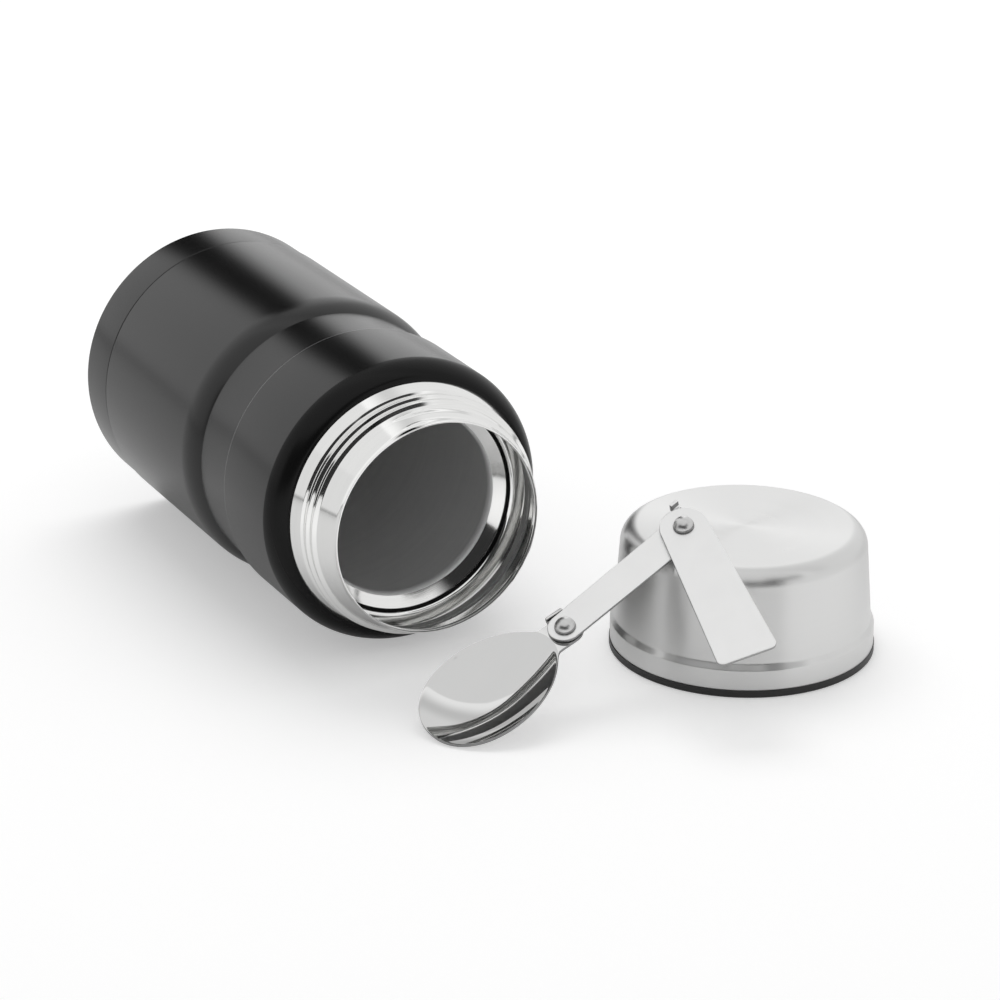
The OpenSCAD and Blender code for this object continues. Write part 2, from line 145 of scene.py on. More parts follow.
# %% The lathe
def lathe(name, section, axis="Y", centre=(0, 0, 0), steps=192, crisp=32):
    """Spins a closed half section, in mm, round the Y or Z axis through centre."""
    origin = Vector(centre) * mm
    points = [origin + Vector((r, h, 0) if axis == "Y" else (r, 0, h)) * mm for r, h in section]
    deselect()
    bpy.ops.mesh.primitive_plane_add(size=0.001, location=points[0])
    obj = bpy.context.object
    obj.name = name
    bpy.ops.object.mode_set(mode="EDIT")
    bpy.ops.mesh.merge(type="CENTER")
    for p, q in zip(points, points[1:] + points[:1]):
        if (q - p).length > 1e-9:
            bpy.ops.mesh.extrude_region_move(TRANSFORM_OT_translate={"value": q - p})
    bpy.ops.mesh.select_all(action="SELECT")
    bpy.ops.mesh.remove_doubles(threshold=1e-7)
    bpy.ops.mesh.spin(steps=steps, angle=2 * math.pi, center=origin,
                      axis=(0, 1, 0) if axis == "Y" else (0, 0, 1))
    bpy.ops.mesh.select_all(action="SELECT")
    bpy.ops.mesh.remove_doubles(threshold=2e-6)
    bpy.ops.mesh.normals_make_consistent(inside=False)
    bpy.ops.object.mode_set(mode="OBJECT")
    settle(obj)
    bpy.ops.object.shade_smooth_by_angle(angle=math.radians(crisp))
    print(name, len(obj.data.polygons), "faces")
    return obj


# %% [markdown]
# The camera stands at the height of a person's eyes over a table, well back, with a long lens, so
# that near and far ends of the jar keep nearly their true sizes. It looks down by 22 degrees and
# sees the jar's open mouth from the left.

# %% Camera
camera_place = (-0.42757, -0.86214, 0.39586)
from_straight_down, heading = math.radians(68.098), math.radians(-27.466)
deselect()
bpy.ops.object.camera_add(location=camera_place, rotation=(from_straight_down, 0, heading))
camera = bpy.context.object
camera.data.lens = 126.45
camera.data.sensor_width = 36
camera.data.clip_end = 20
camera.data.dof.use_dof = False
bpy.context.scene.camera = camera
print("camera lens", round(camera.data.lens, 2), "mm")

# %% [markdown]
# Materials come before the pieces, so that each piece gets its finish as soon as it exists. Nodes
# could be laid out by hand in the shader editor; a few short helpers do the same and keep each
# recipe short enough to read. A value that is the same all over goes onto the shader's own socket.

# %% Material helpers
def new_material(name):
    mat = bpy.data.materials.new(name)
    mat.use_nodes = True
    tree = mat.node_tree
    return mat, tree, tree.nodes["Principled BSDF"]


def add(tree, kind, **values):
    """Adds a node by its type. Each value sets a property of the node, or else its socket."""
    node = tree.nodes.new("ShaderNode" + kind)
    for key, value in values.items():
        if hasattr(node, key) and key not in node.inputs:
            setattr(node, key, value)
        else:
            node.inputs[key.replace("_", " ")].default_value = value
    return node


def link(tree, a, b):
    tree.links.new(a, b)


def coords(tree, scale=(1, 1, 1), move=(0, 0, 0)):
    """Object coordinates through a Mapping node."""
    mapping = add(tree, "Mapping", Location=move, Scale=scale)
    link(tree, add(tree, "TexCoord").outputs["Object"], mapping.inputs["Vector"])
    return mapping.outputs["Vector"]


def calc(tree, how, a, b=0.0):
    """A Math node. Each of a and b is a number or another node's output."""
    node = add(tree, "Math", operation=how)
    for socket, value in zip(node.inputs, (a, b)):
        if isinstance(value, (int, float)):
            socket.default_value = value
        else:
            link(tree, value, socket)
    return node.outputs[0]


# %% Pattern helpers
def noise(tree, where, scale, detail, **more):
    """Noise from 0 to 1 at the given coordinates; scale is in grains per metre."""
    node = add(tree, "TexNoise", Scale=scale, Detail=detail, **more)
    link(tree, where, node.inputs["Vector"])
    return node.outputs["Fac"]


def spread(tree, source, low, high, start=0.0, end=1.0):
    """Maps a value that runs from start to end onto low to high."""
    node = add(tree, "MapRange", From_Min=start, From_Max=end, To_Min=low, To_Max=high)
    link(tree, source, node.inputs["Value"])
    return node.outputs["Result"]


def shades(tree, source, dark, light):
    """A colour between dark and light, by a value from 0 to 1."""
    node = add(tree, "ValToRGB")
    node.color_ramp.elements[0].color = (*dark, 1)
    node.color_ramp.elements[1].color = (*light, 1)
    link(tree, source, node.inputs["Fac"])
    return node.outputs["Color"]


def bump(tree, shader, source, strength, distance):
    """Tilts the surface as if source raised it by distance, in metres."""
    node = add(tree, "Bump", Strength=strength, Distance=distance)
    link(tree, source, node.inputs["Height"])
    link(tree, node.outputs["Normal"], shader.inputs["Normal"])


# %% [markdown]
# The jar's body is sprayed with a satin black lacquer. Sprayed lacquer is never flat: a very fine
# ripple, called orange peel, breaks up its reflections, and handling leaves slightly duller patches.
# A plain black would look like plastic, so one noise makes the ripple and a wide one the patches.

# %% Black lacquer
peel_scale, peel_strength, peel_height = 900.0, 0.12, 0.00004
patch_scale, duller, paler = 28.0, 0.02, 0.2


def lacquered(name, gloss, rough, shade=0.0065):
    """gloss is the specular level, rough the mean roughness and shade the paint's own grey."""
    mat, tree, shader = new_material(name)
    shader.inputs["Specular IOR Level"].default_value = gloss
    patches = noise(tree, coords(tree), patch_scale, 2.0)
    link(tree, spread(tree, patches, rough - duller, rough + duller), shader.inputs["Roughness"])
    dark, light = [shade * (1 - paler)] * 3, [shade * (1 + paler)] * 3
    link(tree, shades(tree, patches, dark, light), shader.inputs["Base Color"])
    bump(tree, shader, noise(tree, coords(tree), peel_scale, 3.0), peel_strength, peel_height)
    return mat


lacquer = lacquered("satin black lacquer", 0.5, 0.23)
shoulder_lacquer = lacquered("deep black shoulder lacquer", 0.16, 0.26)
# its pale grey is a painted highlight for the rounded corner of the step
highlight_lacquer = lacquered("lacquer edge with painted highlight", 0.5, 0.30, 0.20)
print(lacquer.name, shoulder_lacquer.name, highlight_lacquer.name, sep=", ")

# %% [markdown]
# The lid is brushed round and round. Brushing leaves fine grooves that all run the same way, so the
# highlight stretches across them. The grooves are noise that varies quickly along the height and the
# radius, and hardly at all round the lid, and the shader's anisotropy stretches the highlight.

# %% Brushed steel
groove_scale, groove_height = 5200.0, 0.00003
band_scale, band_contrast = 700.0, 0.05
drift = 0.0006  # how much the pattern changes in one radian round the axis
quarter_turn = 0.25


def ring_coords(tree, axis, centre):
    """Coordinates that hardly change along a ring round the axis: radius, height and a slow turn."""
    split = add(tree, "SeparateXYZ")
    link(tree, coords(tree, move=[-x * mm for x in centre]), split.inputs["Vector"])
    flat = [split.outputs[k] for k in "XYZ" if k != axis]
    squares = [calc(tree, "MULTIPLY", side, side) for side in flat]
    radius = calc(tree, "SQRT", calc(tree, "ADD", *squares))
    turn = calc(tree, "MULTIPLY", calc(tree, "ARCTAN2", *flat), drift)
    ring = add(tree, "CombineXYZ")
    for socket, value in zip("XYZ", (radius, split.outputs[axis], turn)):
        link(tree, value, ring.inputs[socket])
    return ring.outputs["Vector"]


def brushed(name, axis, centre, colour, rough, pull, streak=1.0, metal=1.0):
    """Steel brushed round an axis through centre, in mm. pull is how far highlights are drawn out."""
    mat, tree, shader = new_material(name)
    shader.inputs["Metallic"].default_value = metal
    shader.inputs["Anisotropic"].default_value = pull
    shader.inputs["Anisotropic Rotation"].default_value = quarter_turn
    tangent = add(tree, "Tangent", direction_type="RADIAL", axis=axis)
    link(tree, tangent.outputs["Tangent"], shader.inputs["Tangent"])
    ring = ring_coords(tree, axis, centre)
    bands = noise(tree, ring, band_scale, 2.0)
    link(tree, spread(tree, bands, *rough), shader.inputs["Roughness"])
    dark = [x * (1 - band_contrast * streak) for x in colour]
    light = [min(1, x * (1 + band_contrast * streak)) for x in colour]
    link(tree, shades(tree, bands, dark, light), shader.inputs["Base Color"])
    bump(tree, shader, noise(tree, ring, groove_scale, 2.0), 0.18 * streak, groove_height)
    return mat


lid_mouth = record["mounts"][1]
lid_centre = Vector(lid_mouth["pos_m"]) / mm
lid_centre.z = cad_box[0][2] / mm
jar_axis = (0, 0, 0)
lid_steel = brushed("brushed lid steel", "Z", lid_centre, (0.70, 0.70, 0.695), (0.26, 0.32), 0.88, 0.2)
neck_steel = brushed("spun neck steel", "Y", jar_axis, (0.86, 0.86, 0.85), (0.04, 0.12), 0.3, 0.8)
liner_steel = brushed("satin liner steel", "Y", jar_axis, (0.90, 0.90, 0.90), (0.30, 0.36), 0.2, metal=0.1)
print(lid_steel.name, neck_steel.name, liner_steel.name, sep=", ")

# %% [markdown]
# The spoon's bowl is polished until it mirrors the room, and the rivets are polished less. A mirror
# shows mostly what is round it, so the recipe is short: a nearly even colour, and faint wipe marks,
# which are noise stretched one way, in the roughness.

# %% Polished steel
def polished(name, colour, rough):
    """Mirror-polished steel with faint wipe marks."""
    mat, tree, shader = new_material(name)
    shader.inputs["Metallic"].default_value = 1.0
    wipes = noise(tree, coords(tree, scale=(1, 3, 1)), 60.0, 4.0, Distortion=0.6)
    link(tree, spread(tree, wipes, *rough), shader.inputs["Roughness"])
    link(tree, shades(tree, wipes, [x * 0.97 for x in colour], colour), shader.inputs["Base Color"])
    return mat


rivet_steel = polished("polished rivet steel", (0.66, 0.66, 0.655), (0.28, 0.34))
bowl_steel = polished("polished spoon steel", (0.70, 0.70, 0.695), (0.02, 0.05))
print(rivet_steel.name, bowl_steel.name, sep=", ")

# %% [markdown]
# The link and the handle are stamped from sheet and tumbled with small stones, which leaves an even,
# very fine matt grain without direction. The same recipe, with its own grain, colour and roughness,
# does for rolled sheet, moulded plastic, foam and the small hidden pieces.

# %% Even finishes
cloud_scale, cloud_change = 90.0, 0.05


def plain(name, colour, metal, rough, grain=2500.0, depth=0.1, distance=0.00002):
    """A fine grain, with soft clouds of slightly different tone and roughness."""
    mat, tree, shader = new_material(name)
    shader.inputs["Metallic"].default_value = metal
    clouds = noise(tree, coords(tree), cloud_scale, 2.0)
    link(tree, spread(tree, clouds, rough - cloud_change, rough + cloud_change), shader.inputs["Roughness"])
    dark, light = [x * 0.95 for x in colour], [min(1, x * 1.03) for x in colour]
    link(tree, shades(tree, clouds, dark, light), shader.inputs["Base Color"])
    bump(tree, shader, noise(tree, coords(tree), grain, 3.0), depth, distance)
    return mat


satin_steel = plain("tumbled steel", (0.92, 0.92, 0.915), 1.0, 0.36)
# its dark grey is painted shade and dark reflection for the edges; only its higher roughness is real
edge_shade_steel = plain("steel edge with painted shade", (0.34, 0.34, 0.34), 1.0, 0.42)
sheet_steel = plain("rolled sheet steel", (0.56, 0.56, 0.55), 1.0, 0.36)
black_plastic = plain("black moulded plastic", (0.012, 0.012, 0.012), 0.0, 0.42, 1400.0, 0.15)
foam = plain("white foamed plastic", (0.82, 0.82, 0.79), 0.0, 0.8, 1500.0, 0.5, 0.0001)
silicone = plain("clear silicone", (0.7, 0.7, 0.68), 0.0, 0.4)
silicone.node_tree.nodes["Principled BSDF"].inputs["Subsurface Weight"].default_value = 0.2
copper = plain("copper foil", (0.80, 0.42, 0.28), 1.0, 0.22, 160.0, 0.4, 0.0003)
getter_grey = plain("pressed getter powder", (0.2, 0.2, 0.21), 0.2, 0.8, 3000.0, 0.6, 0.00008)
seal_glass = plain("fired sealing glass", (0.42, 0.39, 0.33), 0.0, 0.15)
print(len(bpy.data.materials), "materials")

# %% [markdown]
# Every piece of the CAD model gets a finish by its material slot. Pieces that are modelled again
# below are given a finish of their own, and the others, such as the lid's liner, show their CAD shape.

# %% Finishes of the CAD nodes
finishes = {
    "black_lacquer": lacquer, "sheet_steel": sheet_steel, "polished_steel": neck_steel,
    "brushed_steel": lid_steel, "satin_steel": satin_steel, "black_plastic": black_plastic,
    "foam": foam, "silicone": silicone, "copper_foil": copper, "getter_metal": getter_grey,
    "seal_glass": seal_glass}
for part in record["subparts"]:
    mesh = frame["nodes"][part["node"]].data
    mesh.materials.clear()
    mesh.materials.append(finishes[part["material_slot"]])
print(len(record["subparts"]), "CAD nodes have their finish")

# %% [markdown]
# A new piece takes over from its CAD node: the node stops showing, the piece rides on the same body
# and gets the finish it is handed. The helper prints how far the new piece's box is off the node's,
# which shows at once when a shape has drifted from the drawing.

# %% Handing over from a CAD node
bodies = record["behaviour"]["bodies"]


def stand_for(obj, node, material):
    obj.data.materials.clear()
    obj.data.materials.append(material)
    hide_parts(node)
    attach(obj, next(body for body, nodes in bodies.items() if node in nodes))
    new, old = np.array(obj.bound_box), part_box(node)
    print(obj.name, "off its node's box by mm:",
          [round(float(x) / mm, 2) for x in (*(new.min(0) - old[0]), *(new.max(0) - old[1]))])


# %% [markdown]
# The outer shell is one drawn sheet. From the mouth it has a flat seat for the lid, a rounded
# shoulder, the upper section, a sharp step in to the waist, and a soft flare out to the body. A
# cylinder with scaled loops could give the rough form, but the light shows every radius of it, so
# the shoulder is drawn as a slightly squared arc and the flare as a true one.

# %% Drawing of the jar's shell
sheet = 0.6
seat, step, flare_from, flare_to, seam, shell_end = 19.3, 56.2, 77.2, 86.9, 150.4, 164.3
mouth_r, seat_r, upper_r, waist_r, body_r, end_r = 33.0, 40.2, 45, 43.3, 46, 44.88
shoulder_high, shoulder_power = 7.4, 1.22
outside = [(mouth_r, seat, 0), (seat_r, seat, 0)]
for k in range(1, 25):
    turn = math.pi / 48 * k
    outside.append((upper_r - (upper_r - seat_r) * (1 - math.sin(turn) ** shoulder_power),
                    seat + shoulder_high * (1 - math.cos(turn) ** shoulder_power), 0))
outside += [(upper_r, step, 1.5), (waist_r, step, 0.15), (waist_r, flare_from, 0)]
flare_long, flare_rise = flare_to - flare_from, body_r - waist_r
flare_r = (flare_long ** 2 + flare_rise ** 2) / (2 * flare_rise)
for k in range(1, 17):
    turn = math.asin(flare_long / flare_r) * (1 - k / 16)
    outside.append((body_r - flare_r * (1 - math.cos(turn)), flare_to - flare_r * math.sin(turn), 0))
outside += [(body_r, seam, 0.9), (end_r, seam, 0.2), (end_r, shell_end, 0)]
inside = [(end_r - sheet, shell_end, 0), (end_r - sheet, seam - sheet, 0.3),
          (body_r - sheet, seam - sheet, 0.5), (body_r - sheet, 87.0, 0), (waist_r - sheet, 77.0, 0),
          (waist_r - sheet, step + sheet, 0.2), (upper_r - sheet, step + sheet, 0.2),
          (upper_r - sheet, 27.0, 4.0), (40.0, seat + sheet, 1.0), (mouth_r, seat + sheet, 0)]
print("flare radius", round(flare_r, 1), "mm")

# %% Jar shell
jar_shell = lathe("jar_shell", rounded(outside, 10) + rounded(inside, 6), crisp=20)
stand_for(jar_shell, "outer_shell", lacquer)

# %% [markdown]
# The spray reaches the shoulder at a slant and dries deeper and duller there. The step's edge gets
# a pale grey, which is a painted highlight along its corner. Both are rings of faces, so each gets its
# own finish by where its faces lie. A painted mask could fade the one into the other, but on the real jar the
# changes are sharp too.

# %% Shoulder and painted edge highlight
shoulder_end = (seat + 7.1) * mm
# the ring of faces on the step's corner that gets the painted highlight grey
highlight_from, highlight_to, highlight_r = 54.93 * mm, 55.62 * mm, 44.55 * mm
jar_shell.data.materials.append(shoulder_lacquer)
jar_shell.data.materials.append(highlight_lacquer)
for quad in jar_shell.data.polygons:
    x, y, z = quad.center
    if y < shoulder_end:
        quad.material_index = 1
    elif highlight_from < y < highlight_to and math.hypot(x, z) > highlight_r:
        quad.material_index = 2
print([sum(quad.material_index == k for quad in jar_shell.data.polygons) for k in range(3)], "faces each")

# %% [markdown]
# The base cap is pressed over the end of the body. A narrow seam stays between the two, and the cap's
# edge is rounded so that it can be stood on. It is spun as one sheet, so the seam is a real gap that
# catches the dark, and not a line drawn on one piece.

# %% Base cap
cap_out = [(45.0, 151.1, 0), (45.15, 150.9, 0), (45.7, 150.9, 0.3), (45.7, 168.4, 1.6),
           (39.1, 168.4, 1.2), (37.3, 166.6, 1.2), (0, 166.6, 0)]
cap_in = [(0, 165.8, 0), (37.0, 165.8, 0.8), (38.8, 167.6, 0.8), (44.9, 167.6, 0.9), (44.9, 151.0, 0)]
cap = lathe("base_cap_spun", rounded(cap_out, 10) + rounded(cap_in, 6))
stand_for(cap, "base_cap", lacquer)

# %% [markdown]
# The neck and the liner are one polished sheet. Its lip is rounded, and a thread is rolled into it:
# a ridge that runs round like a ramp, and that shows as a groove inside. A Screw modifier would make
# an endless thread that doesn't run out, so the sheet is spun plain first, with points close
# together. Then the vertices near the ramp are moved outwards, on both sides of the sheet alike.

# %% Helpers for a sheet with two faces
def dense(path, gap, upto):
    """Adds points along a path, as far as height upto, so that no two are further apart than gap."""
    out = [path[0]]
    for p, q in zip(path, path[1:]):
        n = max(1, math.ceil((q - p).length / gap)) if q.y < upto else 1
        out += [p + (q - p) * k / n for k in range(1, n + 1)]
    return out


def beside(path, gap):
    """The same path moved sideways by gap, for the other face of a sheet; folds are left out."""
    moved, ways = [], []
    for k, p in enumerate(path):
        a = (p - path[max(0, k - 1)]).normalized() if k else (path[1] - p).normalized()
        c = (path[k + 1] - p).normalized() if k < len(path) - 1 else a
        left = Vector((-a.y - c.y, a.x + c.x)).normalized()
        moved.append(p + left * gap)
        ways.append((a + c).normalized())
    out = [moved[0]]
    for p, way in zip(moved[1:], ways[1:]):
        if (p - out[-1]).dot(way) > 0.02:
            out.append(p)
    return out


# %% Neck and liner
lip = 33.3
neck_out = [(lip - 0.35, 0.0, 0), (lip - 0.1, 0.05, 0), (lip, 0.35, 0), (lip, 1.6, 2.0),
            (35.85, 8.3, 0.25), (37.15, 9.05, 0.35), (36.7, 11.1, 0.3), (37.9, 11.8, 0.4),
            (37.1, 14.6, 0.3), (38.0, 15.15, 0.3), (39.55, 19.0, 0.2), (39.6, 19.28, 0.1),
            (34.7, 19.28, 0.9), (33.9, 21.2, 0.5), (29.9, 23.3, 0.8)]
throat, wall = (29.9, 24.6), (40.0, 34.0)
neck_out += ease(throat, wall, 22) + [(40.0, 156.8, 0)]
path = dense([Vector(p) for p in rounded(neck_out, 9)], 0.22, 19)
neck = lathe("neck_and_liner", path + beside(path, sheet)[::-1], steps=240)

# %% The rolled thread
# Each ridge: the angle where it starts, its height there, how far it stands out, its half width, and
# how far it climbs in a degree.
ridges = [(108, 6.9, 0.75, 1.0, 0.045), (107, 2.6, 0.55, 1.1, 0.03)]
thread_low, thread_high, thread_turn = 0.9, 9.5, 170
run_in, run_out, narrow = 9, 20, 0.45
lifted = 0
for v in neck.data.vertices:
    x, y, z = v.co / mm
    if y > thread_high or y < thread_low:
        continue
    angle = math.degrees(math.atan2(z, x))
    lift = 0
    for begin, height, rise, wide, climb in ridges:
        past = (begin - angle) % 360
        if past > thread_turn:
            continue
        grow = min(1, past / run_in) * min(1, (thread_turn - past) / run_out)
        off = (y - height + climb * past) / (wide * (narrow + (1 - narrow) * grow))
        if abs(off) < 1:
            lift = max(lift, grow * rise * (1 + math.cos(math.pi * off)) / 2)
    if lift > 0:
        v.co = v.co + Vector((x, 0, z)).normalized() * lift * mm
        lifted += 1
stand_for(neck, "inner_liner", neck_steel)
print(lifted, "vertices stand out for the thread")

# %% [markdown]
# Behind the throat the liner isn't polished but left satin, as the drawing press leaves it. Those
# faces get the second finish. A second piece would leave a seam that the real sheet doesn't have.

# %% Satin inside
throat_ring = 22.6 * mm
neck.data.materials.append(liner_steel)
for quad in neck.data.polygons:
    if quad.center.y > throat_ring:
        quad.material_index = 1
print(sum(quad.material_index for quad in neck.data.polygons), "satin faces")

# %% [markdown]
# The lid's shell is a drawn cup: a wider band at its lower edge, a soft step, a slight taper and a
# rounded upper edge. Its two faces are drawn as one closed section, so that its lower edge has the
# sheet's real thickness.

# %% Lid shell
lid_out = [(40.25, 2.42, 0), (40.25, 8.6, 1.0), (39.2, 10.4, 1.6), (37.1, 38.8, 5.5), (0, 38.8, 0)]
lid_in = [(0, 38.2, 0), (36.5, 38.2, 4.9), (38.6, 10.5, 1.6), (39.65, 8.7, 1.0), (39.65, 2.42, 0)]
lid_shell = lathe("lid_shell_spun", rounded(lid_out, 14) + rounded(lid_in, 8), "Z", lid_centre, crisp=20)
stand_for(lid_shell, "lid_shell", lid_steel)

# %% [markdown]
# The spoon's three pieces are modelled flat, in the spoon's own frame: x runs from the bowl's rivet to
# the handle's rivet, and z is the way the spoon faces. Modelling them in place, at a slant, would
# make every number odd. The frame's hinges say where the finished pieces go.

# %% The spoon's frame
bowl_turn, handle_turn = math.radians(-6.0), math.radians(-115)
joints = {j["name"]: j for j in frame["joints"]}
facing = -Vector(joints["link_fold"]["axis"]).normalized()
rivet_1, rivet_2 = Vector(joints["link_fold"]["pos_m"]), Vector(joints["handle_fold"]["pos_m"])
along = (rivet_2 - rivet_1).normalized()
spoon = Matrix((along, facing.cross(along).normalized(), facing)).transposed().to_4x4()
spoon.translation = rivet_1
link_len = (rivet_2 - rivet_1).length / mm
bowl_place = spoon @ Matrix.Rotation(bowl_turn, 4, "Z")
second_rivet = spoon @ Matrix.Translation((link_len * mm, 0, 0))
handle_place = second_rivet @ Matrix.Rotation(handle_turn, 4, "Z")
print("the spoon faces", [round(x, 3) for x in facing], "link", round(link_len, 2), "mm")

# %% [markdown]
# Sheet pieces are cut out, bent, drilled and tumbled. The helpers follow that order: an outline is
# filled and pulled up to its thickness, lugs and holes come from booleans, and a small bevel rounds
# the edges. A plane with loop cuts would need far more steps for the same round ends and holes.

# %% Cutting from sheet
def pulled(name, corners, pull):
    """A filled outline pulled into a solid. corners are points and pull is a way, all in mm."""
    deselect()
    bpy.ops.mesh.primitive_circle_add(vertices=len(corners), fill_type="NGON", radius=0.001)
    obj = bpy.context.object
    obj.name = name
    for v, p in zip(obj.data.vertices, corners):
        v.co = Vector(p) * mm
    bpy.ops.object.mode_set(mode="EDIT")
    bpy.ops.mesh.select_all(action="SELECT")
    bpy.ops.mesh.extrude_region_move(TRANSFORM_OT_translate={"value": Vector(pull) * mm})
    bpy.ops.mesh.select_all(action="SELECT")
    bpy.ops.mesh.normals_make_consistent(inside=False)
    bpy.ops.object.mode_set(mode="OBJECT")
    return obj


def plate(name, outline, low, high):
    """A flat piece of sheet, from height low to height high."""
    return pulled(name, [(x, y, low) for x, y in outline], (0, 0, high - low))


def bow(cx, cy, r, start, end, steps):
    """Points of an arc, in degrees."""
    return [(cx + r * math.cos(math.radians(start + (end - start) * k / steps)),
             cy + r * math.sin(math.radians(start + (end - start) * k / steps))) for k in range(steps + 1)]


def ear(name, start, long, inner, low, top, thick=1.0, bend=0.9):
    """A lug bent up at a plate's edge: an L that is pulled along the edge, with rounded corners."""
    shape = [(inner - bend, low)] + bow(inner + thick - bend, low + bend, bend, -90, 0, 6)
    shape += [(inner + thick, top), (inner, top), (inner, low + thick + 0.2),
              (inner - 0.3, low + thick), (inner - bend, low + thick)]
    return pulled(name, [(start, y, z) for y, z in shape], (long, 0, 0))


def drill(x, r, low, high, wide=None):
    """A cutter for a hole, or, with wide, for a countersink."""
    deselect()
    bpy.ops.mesh.primitive_cone_add(vertices=96, radius1=r * mm, radius2=(wide or r) * mm,
                                    depth=(high - low) * mm, location=(x * mm, 0, (low + high) / 2 * mm))
    return bpy.context.object


# %% Modifiers and finishing
def change(obj, kind, **values):
    """Adds a modifier, sets it and applies it."""
    pick(obj)
    mod = obj.modifiers.new(kind.lower(), kind)
    for key, value in values.items():
        setattr(mod, key, value)
    bpy.ops.object.modifier_apply(modifier=mod.name)


def combine(obj, tool, how):
    """Boolean with a tool, which is used up."""
    change(obj, "BOOLEAN", object=tool, operation=how, solver="EXACT")
    bpy.data.objects.remove(tool, do_unlink=True)


def round_edges(obj, wide, over=40):
    """Rounds the edges at which the surface turns by more than so many degrees."""
    change(obj, "BEVEL", width=wide * mm, segments=3, limit_method="ANGLE", angle_limit=math.radians(over))


def even_shading(obj):
    """Smooth shading in which the large flat faces keep their own normal, so that they reflect evenly."""
    pick(obj)
    bpy.ops.object.shade_smooth()
    change(obj, "WEIGHTED_NORMAL", weight=100, keep_sharp=True)


def put(obj, where):
    """Moves a piece that was modelled flat to its place on the object."""
    pick(obj)
    obj.matrix_world = where @ obj.matrix_world
    settle(obj)


def paint_edge_shade(obj, steep=0.3):
    """Paints the faces that stand on edge, such as sheared sides, darker: painted shade and dark reflection."""
    obj.data.materials.append(edge_shade_steel)
    for quad in obj.data.polygons:
        if abs(quad.normal.dot(facing)) < steep:
            quad.material_index = 1


# %% [markdown]
# The link and the handle are cut from 1 mm sheet, and tumbling rounds all their edges. Round each
# rivet the sheet is pressed down a little, which a wide, flat cone cuts out.

# %% Link
dimple, dimple_rim = 3.1, 4.2
outline = bow(0, 0, 5.25, 90, 270, 40) + bow(link_len, 0, 5.75, -90, 90, 40)
spoon_link = plate("link_plate", outline, -1, 0)
combine(spoon_link, ear("lug", link_len + 2.7, 3.0, 7.75, -1, 2.0), "UNION")
for x in (0, link_len):
    combine(spoon_link, drill(x, 1.92, -2, 1), "DIFFERENCE")
combine(spoon_link, drill(0, dimple, -0.22, 0.02, dimple_rim), "DIFFERENCE")
round_edges(spoon_link, 0.22)
put(spoon_link, spoon)
even_shading(spoon_link)
stand_for(spoon_link, "spoon_link", satin_steel)
paint_edge_shade(spoon_link)

# %% Handle
rivet_wide, end_wide, straight = 14.6, 18.3, 55.4
corner_x, corner_y, corner_r = 53.2, 6.88, 2.2
slope = math.degrees(math.atan((end_wide - rivet_wide) / 2 / straight))
outline = bow(0, 0, rivet_wide / 2, 90, 270, 48)
outline += bow(corner_x, -corner_y, corner_r, -90 - slope, 0, 12)
outline += bow(corner_x, corner_y, corner_r, 0, 90 + slope, 12)
handle = plate("handle_plate", outline, 0.3, 1.3)
combine(handle, drill(0, 1.95, 0, 2), "DIFFERENCE")
combine(handle, drill(0, dimple, 1.08, 1.32, dimple_rim), "DIFFERENCE")
round_edges(handle, 0.3)
put(handle, handle_place)
even_shading(handle)
stand_for(handle, "spoon_handle", satin_steel)
paint_edge_shade(handle)

# %% [markdown]
# The bowl is pressed from the same sheet and polished like a mirror, so its form has to flow: any
# kink would bend the reflections. Sculpting by hand leaves such kinks, so the form is two formulas,
# one for the half width along its length and one for how far the sheet drops below the flat tab.

# %% Drawing of the bowl
reach, neck_x, half_wide, deep, tab_half = 50.8, 6.0, 16.9, 5.5, 5.25
mid = neck_x + (reach - neck_x) * 0.534
set_down = math.tan(math.radians(4.7))
tip_power, neck_power, fullness = 2.15, 1.9, 2.2


def soft_max(a, b, k):
    """The larger of two values, with the change between them smoothed over k."""
    h = max(k - abs(a - b), 0) / k
    return max(a, b) + h * h * h * k / 6


def span(x):
    """How far x lies from the bowl's middle: 0 there, 1 at the tip and at the neck."""
    return -(x + mid) / (reach - mid) if x < -mid else (x + mid) / (mid - neck_x)


def power(x):
    """How square the outline is: 2 would be an ellipse."""
    return tip_power if x < -mid else neck_power


def half_width(x):
    dish = half_wide * max(0, 1 - span(x) ** power(x)) ** (1 / power(x)) if span(x) < 1 else 0
    if x < -mid:
        return dish
    if x > 0:
        return math.sqrt(max(0, tab_half ** 2 - x * x))
    return soft_max(dish, tab_half, 5.0) if x < -1.5 else tab_half


def drop(x, y):
    """How far the sheet lies below the tab: its rim is set down, and inside it is dished."""
    out = (span(x) ** power(x) + (abs(y) / half_wide) ** power(x)) ** (1 / power(x))
    return set_down * soft_max(-x - neck_x, 0, 4) + deep * soft_max(1 - out ** fullness, 0, 0.08)


print("deepest point", round(drop(-mid, 0), 2), "mm below the tab")

# %% Spoon bowl
tab_top, thick = -1.4, 1
deselect()
bpy.ops.mesh.primitive_grid_add(x_subdivisions=180, y_subdivisions=48, size=1)
bowl = bpy.context.object
bowl.name = "bowl_dish"
for v in bowl.data.vertices:
    u, w = v.co.x + 0.5, v.co.y * 2
    x = -reach + (reach + tab_half) * (1 - math.cos(math.pi * u)) / 2
    y = half_width(x) * math.sin(math.pi / 2 * w)
    v.co = Vector((x, y, tab_top - drop(x, y))) * mm
bpy.ops.object.mode_set(mode="EDIT")
bpy.ops.mesh.select_all(action="SELECT")
bpy.ops.mesh.remove_doubles(threshold=1e-6)
bpy.ops.mesh.extrude_region_move(TRANSFORM_OT_translate={"value": (0, 0, -thick * mm)})
bpy.ops.mesh.select_all(action="SELECT")
bpy.ops.mesh.normals_make_consistent(inside=False)
bpy.ops.object.mode_set(mode="OBJECT")
round_edges(bowl, 0.2, 55)
